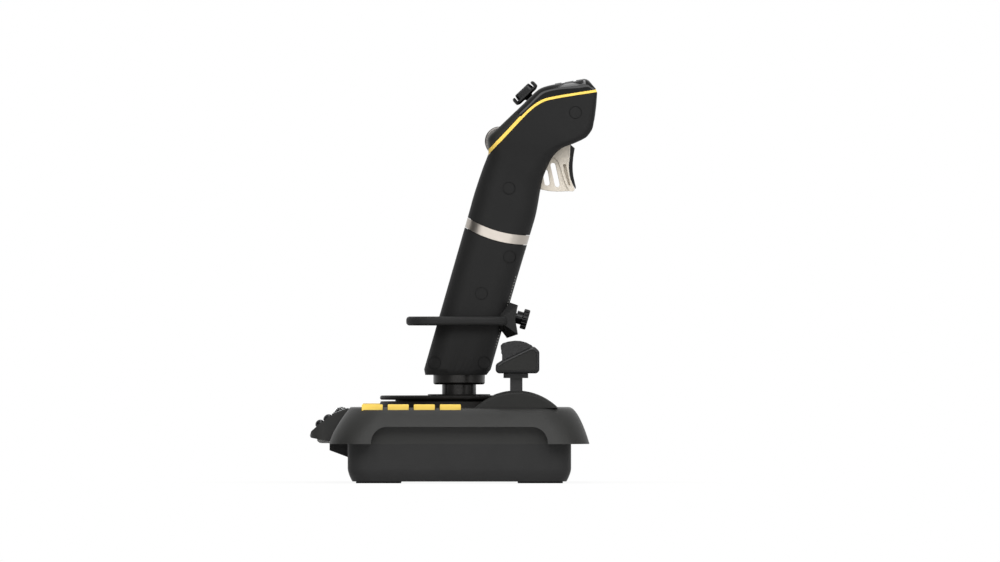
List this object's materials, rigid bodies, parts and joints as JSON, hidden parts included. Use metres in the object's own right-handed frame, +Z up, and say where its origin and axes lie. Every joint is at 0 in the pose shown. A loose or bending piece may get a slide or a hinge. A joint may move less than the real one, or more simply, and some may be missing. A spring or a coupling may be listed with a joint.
{
  "type": "flight joystick",
  "caption": "Desktop flight joystick with a leaning handle, trigger, hat, hand rest, throttle levers and side keys on a flat-topped base.",
  "frame": {"origin": "on the table, under the middle of the whole joystick's box", "axes": "+Z up, +Y away from the user, +X to the user's right"},
  "size_m": [0.19, 0.198, 0.2785],
  "materials": {
    "base_plastic": "fine textured moulding",
    "shell_plastic": "fine textured moulding",
    "jack_metal": "satin",
    "foot_rubber": "moulded",
    "zinc_steel": "satin",
    "circuit_board": "fine textured moulding",
    "deck_plastic": "fine textured moulding",
    "cast_metal": "cast, grey",
    "spring_steel": "satin",
    "slide_plastic": "gloss",
    "disc_plastic": "fine textured moulding",
    "black_steel": "satin coat",
    "grip_rubberised": "fine textured moulding",
    "satin_band": "satin",
    "yellow_plastic": "fine textured moulding",
    "panel_plastic": "fine textured moulding",
    "gloss_black": "gloss",
    "trigger_metal": "satin coat",
    "wheel_gloss": "gloss",
    "hat_plastic": "gloss",
    "rest_plastic": "fine textured moulding",
    "knob_plastic": "fine textured moulding",
    "lever_plastic": "fine textured moulding",
    "clear_dome": "clear"
  },
  "bodies": {
    "base": {"base_tub": "base_plastic", "base_top_shell": "shell_plastic", "nose_panel": "shell_plastic", "headset_jack": "jack_metal", "usb_socket": "jack_metal", "rubber_feet": "foot_rubber", "tub_screws": "zinc_steel", "main_board": "circuit_board", "weight_plate": "zinc_steel", "deck_plate": "deck_plastic", "gimbal_cradle": "cast_metal", "roll_spring": "spring_steel", "throttle_domes": "deck_plastic"},
    "roll_frame_body": {"roll_frame": "cast_metal", "pitch_pins": "spring_steel", "pitch_spring": "spring_steel"},
    "hub_body": {"pitch_hub": "cast_metal", "twist_spring": "spring_steel"},
    "keeper_body": {"dust_keeper": "slide_plastic"},
    "cover_body": {"cover_disc": "disc_plastic"},
    "stick": {"shaft": "black_steel", "shaft_nut": "black_steel", "shaft_collar": "black_steel", "grip_core": "cast_metal", "grip_lower_left": "grip_rubberised", "grip_lower_right": "grip_rubberised", "grip_band": "satin_band", "grip_upper_left": "grip_rubberised", "grip_upper_right": "grip_rubberised", "trim_strip": "yellow_plastic", "head_panel": "panel_plastic", "head_cover": "gloss_black", "screw_plugs": "grip_rubberised", "grip_screws": "zinc_steel", "pivot_pins": "spring_steel"},
    "trigger": {"trigger_blade": "trigger_metal", "trigger_web": "trigger_metal"},
    "trim_wheel_body": {"trim_wheel": "wheel_gloss"},
    "hat_cross_body": {"hat_cross": "slide_plastic"},
    "hat": {"hat_cap": "hat_plastic"},
    "rest": {"hand_rest": "rest_plastic"},
    "clamp_screw": {"thumb_screw": "knob_plastic"},
    "head_button_rear_body": {"head_button_rear": "gloss_black"},
    "head_button_middle_body": {"head_button_middle": "gloss_black"},
    "head_button_front_body": {"head_button_front": "gloss_black"},
    "throttle_left": {"throttle_lever_left": "lever_plastic", "throttle_knob_left": "knob_plastic"},
    "throttle_right": {"throttle_lever_right": "lever_plastic", "throttle_knob_right": "knob_plastic"},
    "key_left_1_body": {"key_left_1": "yellow_plastic"},
    "key_left_2_body": {"key_left_2": "yellow_plastic"},
    "key_left_3_body": {"key_left_3": "yellow_plastic"},
    "key_left_4_body": {"key_left_4": "yellow_plastic"},
    "key_right_1_body": {"key_right_1": "yellow_plastic"},
    "key_right_2_body": {"key_right_2": "yellow_plastic"},
    "key_right_3_body": {"key_right_3": "yellow_plastic"},
    "key_right_4_body": {"key_right_4": "yellow_plastic"},
    "nose_button_lower_body": {"nose_button_lower": "hat_plastic"},
    "nose_button_upper_body": {"nose_button_upper": "hat_plastic"},
    "dome_button_body": {"dome_button": "clear_dome"}
  },
  "joints": [
    {"name": "stick_roll", "type": "hinge", "parent": "base", "child": "roll_frame_body", "pos_m": [0, 0.00345, 0.04], "axis": [0, 1, 0], "range_deg": [-12, 12], "stiffness_Nm_per_rad": 6},
    {"name": "stick_pitch", "type": "hinge", "parent": "roll_frame_body", "child": "hub_body", "pos_m": [0, 0.00345, 0.04], "axis": [-1, 0, 0], "range_deg": [-12, 12], "stiffness_Nm_per_rad": 6},
    {"name": "stick_twist", "type": "hinge", "parent": "hub_body", "child": "stick", "pos_m": [0, 0.00345, 0.0742], "axis": [0, 0, 1], "range_deg": [-20, 20], "stiffness_Nm_per_rad": 0.8},
    {"name": "keeper_shift", "type": "slide", "parent": "base", "child": "keeper_body", "axis": [1, 0, 0], "range_m": [-0.00389, 0.00389]},
    {"name": "cover_shift", "type": "slide", "parent": "keeper_body", "child": "cover_body", "axis": [0, 1, 0], "range_m": [-0.00389, 0.00389]},
    {"name": "trigger_pull", "type": "hinge", "parent": "stick", "child": "trigger", "pos_m": [0, 0.08068, 0.24184], "axis": [-1, 0, 0], "range_deg": [0, 10], "stiffness_Nm_per_rad": 0.6},
    {"name": "trim_wheel_turn", "type": "hinge", "parent": "stick", "child": "trim_wheel_body", "pos_m": [0, 0.03148, 0.23535], "axis": [1, 0, 0], "continuous": true},
    {"name": "hat_tilt_fore_aft", "type": "hinge", "parent": "stick", "child": "hat_cross_body", "pos_m": [0, 0.057, 0.26023], "axis": [1, 0, 0], "range_deg": [-5, 5], "stiffness_Nm_per_rad": 0.05},
    {"name": "hat_tilt_sideways", "type": "hinge", "parent": "hat_cross_body", "child": "hat", "pos_m": [0, 0.057, 0.26023], "axis": [0, 0.7248, 0.689], "range_deg": [-5, 5], "stiffness_Nm_per_rad": 0.05},
    {"name": "head_button_rear_press", "type": "slide", "parent": "stick", "child": "head_button_rear_body", "axis": [0, 0.1685, -0.9857], "range_m": [0, 0.0008], "stiffness_N_per_m": 400},
    {"name": "head_button_middle_press", "type": "slide", "parent": "stick", "child": "head_button_middle_body", "axis": [0, 0.1685, -0.9857], "range_m": [0, 0.0008], "stiffness_N_per_m": 400},
    {"name": "head_button_front_press", "type": "slide", "parent": "stick", "child": "head_button_front_body", "axis": [0, 0.1685, -0.9857], "range_m": [0, 0.0008], "stiffness_N_per_m": 400},
    {"name": "hand_rest_height", "type": "slide", "parent": "stick", "child": "rest", "axis": [0, 0.2756, 0.9613], "range_m": [-0.015, 0.02]},
    {"name": "thumb_screw_turn", "type": "hinge", "parent": "rest", "child": "clamp_screw", "pos_m": [0, 0.03921, 0.11537], "axis": [0, 0.9613, -0.2756], "range_deg": [-180, 180]},
    {"name": "throttle_left_swing", "type": "hinge", "parent": "base", "child": "throttle_left", "pos_m": [-0.071, 0.0429, 0.0219], "axis": [-1, 0, 0], "range_deg": [-22, 22]},
    {"name": "throttle_right_swing", "type": "hinge", "parent": "base", "child": "throttle_right", "pos_m": [0.071, 0.0429, 0.0219], "axis": [-1, 0, 0], "range_deg": [-22, 22]},
    {"name": "key_left_1_press", "type": "slide", "parent": "base", "child": "key_left_1_body", "axis": [0, 0, -1], "range_m": [0, 0.0015], "stiffness_N_per_m": 300},
    {"name": "key_left_2_press", "type": "slide", "parent": "base", "child": "key_left_2_body", "axis": [0, 0, -1], "range_m": [0, 0.0015], "stiffness_N_per_m": 300},
    {"name": "key_left_3_press", "type": "slide", "parent": "base", "child": "key_left_3_body", "axis": [0, 0, -1], "range_m": [0, 0.0015], "stiffness_N_per_m": 300},
    {"name": "key_left_4_press", "type": "slide", "parent": "base", "child": "key_left_4_body", "axis": [0, 0, -1], "range_m": [0, 0.0015], "stiffness_N_per_m": 300},
    {"name": "key_right_1_press", "type": "slide", "parent": "base", "child": "key_right_1_body", "axis": [0, 0, -1], "range_m": [0, 0.0015], "stiffness_N_per_m": 300},
    {"name": "key_right_2_press", "type": "slide", "parent": "base", "child": "key_right_2_body", "axis": [0, 0, -1], "range_m": [0, 0.0015], "stiffness_N_per_m": 300},
    {"name": "key_right_3_press", "type": "slide", "parent": "base", "child": "key_right_3_body", "axis": [0, 0, -1], "range_m": [0, 0.0015], "stiffness_N_per_m": 300},
    {"name": "key_right_4_press", "type": "slide", "parent": "base", "child": "key_right_4_body", "axis": [0, 0, -1], "range_m": [0, 0.0015], "stiffness_N_per_m": 300},
    {"name": "nose_button_lower_press", "type": "slide", "parent": "base", "child": "nose_button_lower_body", "axis": [0, 0.6227, -0.7824], "range_m": [0, 0.0008], "stiffness_N_per_m": 300},
    {"name": "nose_button_upper_press", "type": "slide", "parent": "base", "child": "nose_button_upper_body", "axis": [0, 0.5692, -0.8222], "range_m": [0, 0.0008], "stiffness_N_per_m": 300},
    {"name": "dome_button_press", "type": "slide", "parent": "base", "child": "dome_button_body", "axis": [0, 0.3438, -0.9391], "range_m": [0, 0.001], "stiffness_N_per_m": 300}
  ],
  "couplings": [
    {"joint": "keeper_shift", "follows": "stick_roll", "m_per_rad": 0.01855},
    {"joint": "cover_shift", "follows": "stick_pitch", "m_per_rad": 0.01855}
  ]
}
